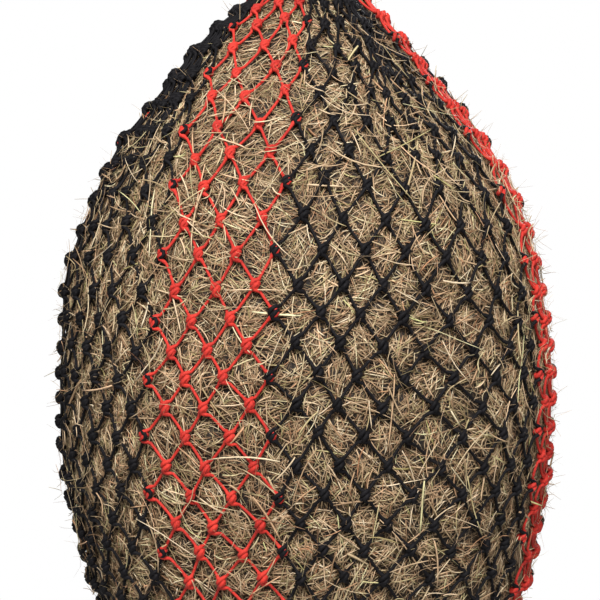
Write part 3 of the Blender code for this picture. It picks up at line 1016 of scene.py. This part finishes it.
def add_drawcord_legs():
    """The drawcord's two ends between the mouth and the knot."""
    _, head, foot = route_ends()
    for name, side in (("left", -1), ("right", 1)):
        x = side * ROPE_OFFSET
        route = [
            (x, 0.0300, foot),
            (x, 0.0285, foot + 0.012),
            (x, 0.0205, foot + 0.027),
            (x, 0.0095, foot + 0.043),
            (x, 0.0015, head - 0.006),
            (x, 0.0005, head),
            (x, 0.0005, head + ROPE_IN_KNOT),
        ]
        path = smooth_route(route, 120)
        leg = rope_mesh(f"rope_leg_{name}", path, ROPE, BLACK_ROPE)
        place(leg, "cord_legs", "black_rope", f"drawcord_leg_{name}")
        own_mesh(leg)


def add_knot():
    """The drawcord's two ends tied together in an overhand knot, and their short cut ends."""
    low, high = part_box("loop_knot")
    centre = (low + high) / 2
    radius = (high.z - low.z) / 2
    turn = np.linspace(0, 2 * math.pi, 260, endpoint=False)
    reach = (radius - ROPE / 2) / 3
    x = reach * (np.sin(turn) + 2 * np.sin(2 * turn))
    z = centre.z + reach * (np.cos(turn) - 2 * np.cos(2 * turn))
    path = np.stack([x, -1.9 * reach * np.sin(3 * turn), z], -1)
    knot = rope_mesh("rope_knot", path, ROPE, BLACK_ROPE, closed=True)
    place(knot, "knot", "black_rope", "loop_knot")
    core = add_ball("rope_knot_core", radius - ROPE / 2, centre, 32, BLACK_ROPE)
    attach(core, "knot")
    start = -(radius + 0.0003)
    for name, side in (("left", -1), ("right", 1)):
        route = [
            (side * ROPE_OFFSET, start + 0.004, centre.z),
            (side * ROPE_OFFSET, start, centre.z),
            (side * (ROPE_OFFSET + 0.001), start - 0.008, centre.z - 0.001),
            (side * (ROPE_OFFSET + 0.003), start - 0.015, centre.z - 0.007),
            (side * (ROPE_OFFSET + 0.005), start - 0.018, centre.z - 0.020),
        ]
        path = smooth_route(route, 70)
        # The heat-sealed end is drawn in and rounded.
        radii = np.interp(np.linspace(0, 1, 70), [0, 0.9, 0.97, 1], [1, 1, 0.9, 0.55])
        tail = rope_mesh(f"rope_tail_{name}", path, ROPE, BLACK_ROPE, radii=radii)
        place(tail, "knot", "black_rope", f"knot_tail_{name}")


def ring_path(radius, height, steps):
    turn = np.linspace(0, 2 * math.pi, steps, endpoint=False)
    return around_axis(radius, turn, height)


def add_mouth():
    """The drawcord's ring, the top meshes' loops strung on it, and the bunched net inside."""
    low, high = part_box("mouth_drawcord")
    radius = (high.x - low.x - ROPE) / 2
    height = (high.z + low.z) / 2
    cord = rope_mesh("rope_mouth_ring", ring_path(radius, height, 280), ROPE, BLACK_ROPE, closed=True)
    place(cord, "mouth", "black_rope", "mouth_drawcord")
    low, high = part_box("mouth_gather")
    rim = high.x
    profile = [
        (0.003, high.z),
        (0.015, high.z - 0.0004),
        (radius - 0.0045, height - 0.001),
        (radius - 0.003, height - 0.0035),
        (radius, height - 0.0045),
        (radius + 0.003, height - 0.0035),
        (rim - 0.001, height - 0.001),
        (rim, height - 0.003),
        (rim - 0.004, low.z),
    ]
    bunch = pleated_mesh("mouth_bunch", profile, MESHES_ROUND, 0.05, 0, BLACK_TWINE)
    place(bunch, "mouth", "black_twine", "mouth_gather")
    around_cord = np.radians(np.linspace(-70, 250, 15))
    for colour, red, material in (("red", True, RED_TWINE), ("black", False, BLACK_TWINE)):
        paths = []
        for column in range(MESHES_ROUND):
            if (column % BAND_COLUMNS < RED_COLUMNS) != red:
                continue
            turn = math.radians(FIRST_RED_EDGE + 2 * column * HALF_ANGLE)
            reach = radius + (ROPE + TWINE) / 2 * np.cos(around_cord)
            rise = height + (ROPE + TWINE) / 2 * np.sin(around_cord)
            paths.append(around_axis(reach, turn, rise))
        paths = np.array(paths)
        points, quads, caps = tube_parts(paths, np.full(paths.shape[:2], TWINE / 2), 8)
        places = np.concatenate(bake_places(len(paths), paths.shape[1], 8))
        loops = object_from(f"mouth_loops_{colour}", points, quads, caps, places, material)
        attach(loops, "mouth")


# --- The base ---
def add_base():
    """The drawn-together base, the cord that lashes it, its becket and its ring."""
    low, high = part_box("base_gather")
    lash_low, lash_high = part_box("base_lashing")
    middle = (lash_low.z + lash_high.z) / 2
    outer = (lash_high.x - lash_low.x) / 2
    throat = outer - (lash_high.z - lash_low.z)
    profile = [
        (0.006, high.z),
        (high.x, high.z - 0.001),
        (high.x, high.z - 0.005),
        (high.x - 0.003, high.z - 0.011),
        (throat + 0.002, middle + 0.005),
        (throat, middle),
        (throat + 0.003, middle - 0.005),
        (throat + 0.003, low.z + 0.001),
        (0.005, low.z),
    ]
    bunch = pleated_mesh("base_bunch", profile, 20, 0.14, 2.0, BLACK_TWINE)
    place(bunch, "net", "black_twine", "base_gather")
    turns = 3
    thick = (lash_high.z - lash_low.z) * 0.62
    turn = np.linspace(0, 2 * math.pi * turns, 300)
    wrap = outer - thick / 2
    drop = middle + thick * 0.95 * (turns / 2 - turn / (2 * math.pi))
    coil = around_axis(wrap, turn, drop)
    lashing = rope_mesh("base_lashing_turns", coil, thick, BLACK_TWINE)
    place(lashing, "net", "black_twine", "base_lashing")
    add_becket()
    add_base_ring()


def add_becket():
    """A short loop of twine under the base, whose end knots turn under the gather."""
    low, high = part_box("base_becket")
    ball = (high.x - low.x) / 2
    hinge = high.z - ball
    half = (high.y - low.y) / 2 - BECKET_TWINE / 2
    bottom = low.z + BECKET_TWINE / 2
    side = [
        (-half + 0.0015, hinge),
        (-half, hinge - 0.0060),
        (-half + 0.0007, hinge - 0.0135),
        (-half + 0.0040, hinge - 0.0180),
    ]
    route = [(0, y, z) for y, z in side] + [(0, 0, bottom)] + [(0, -y, z) for y, z in reversed(side)]
    path = smooth_route(route, 90)
    becket = rope_mesh("becket_loop", path, BECKET_TWINE, BLACK_TWINE)
    place(becket, "base_becket", "black_twine", "base_becket")
    for name, end in (("front", path[0]), ("back", path[-1])):
        knot = add_ball(f"becket_knot_{name}", ball, end, 24, BLACK_TWINE)
        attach(knot, "base_becket")


def add_base_ring():
    """A round steel ring with the low bead of its weld."""
    low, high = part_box("base_ring")
    wire = (high.y - low.y) / 2
    radius = (high.x - low.x) / 2 - wire
    centre = (high.z + low.z) / 2
    steps = 120
    sides = 20
    turn = np.linspace(0, 2 * math.pi, steps, endpoint=False)
    path = np.stack([radius * np.sin(turn), np.zeros(steps), centre + radius * np.cos(turn)], -1)
    weld = math.radians(118)
    thick = wire * (1 + 0.10 * np.exp(-(((turn - weld) / 0.10) ** 2)))
    normals = np.stack([np.sin(turn), np.zeros(steps), np.cos(turn)], -1)
    round_wire = 2 * math.pi * np.arange(sides)[:, None] / sides
    ring = normals[:, None] * np.cos(round_wire) - np.array([0, 1.0, 0]) * np.sin(round_wire)
    points = (path[:, None] + ring * thick[:, None, None]).reshape(-1, 3)
    obj = object_from("steel_ring", points, *closed_tube_faces(steps, sides), STEEL)
    place(obj, "base_ring", "steel", "base_ring")


def add_floor():
    """A plain pale floor under the hanging net."""
    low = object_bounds()[0].z - 0.42
    bpy.ops.mesh.primitive_circle_add(vertices=96, radius=2.6, fill_type="NGON", location=(0, 0.2, low))
    floor = bpy.context.active_object
    floor.name = "floor"
    shader = Shader("floor_pale")
    shader.colour(shader.ramp(shader.noise(3.0), [(0.3, (0.50, 0.50, 0.49)), (0.7, (0.55, 0.55, 0.54))]))
    shader.roughness(shader.noise(8.0), 0.6, 0.75)
    floor.data.materials.append(shader.material)


add_hanging_loop()
add_drawcord_legs()
add_knot()
add_mouth()
add_base()
add_hay_body()
add_stalks()
add_loose_stalks()
add_mouth_stalks()
add_twines()
add_floor()
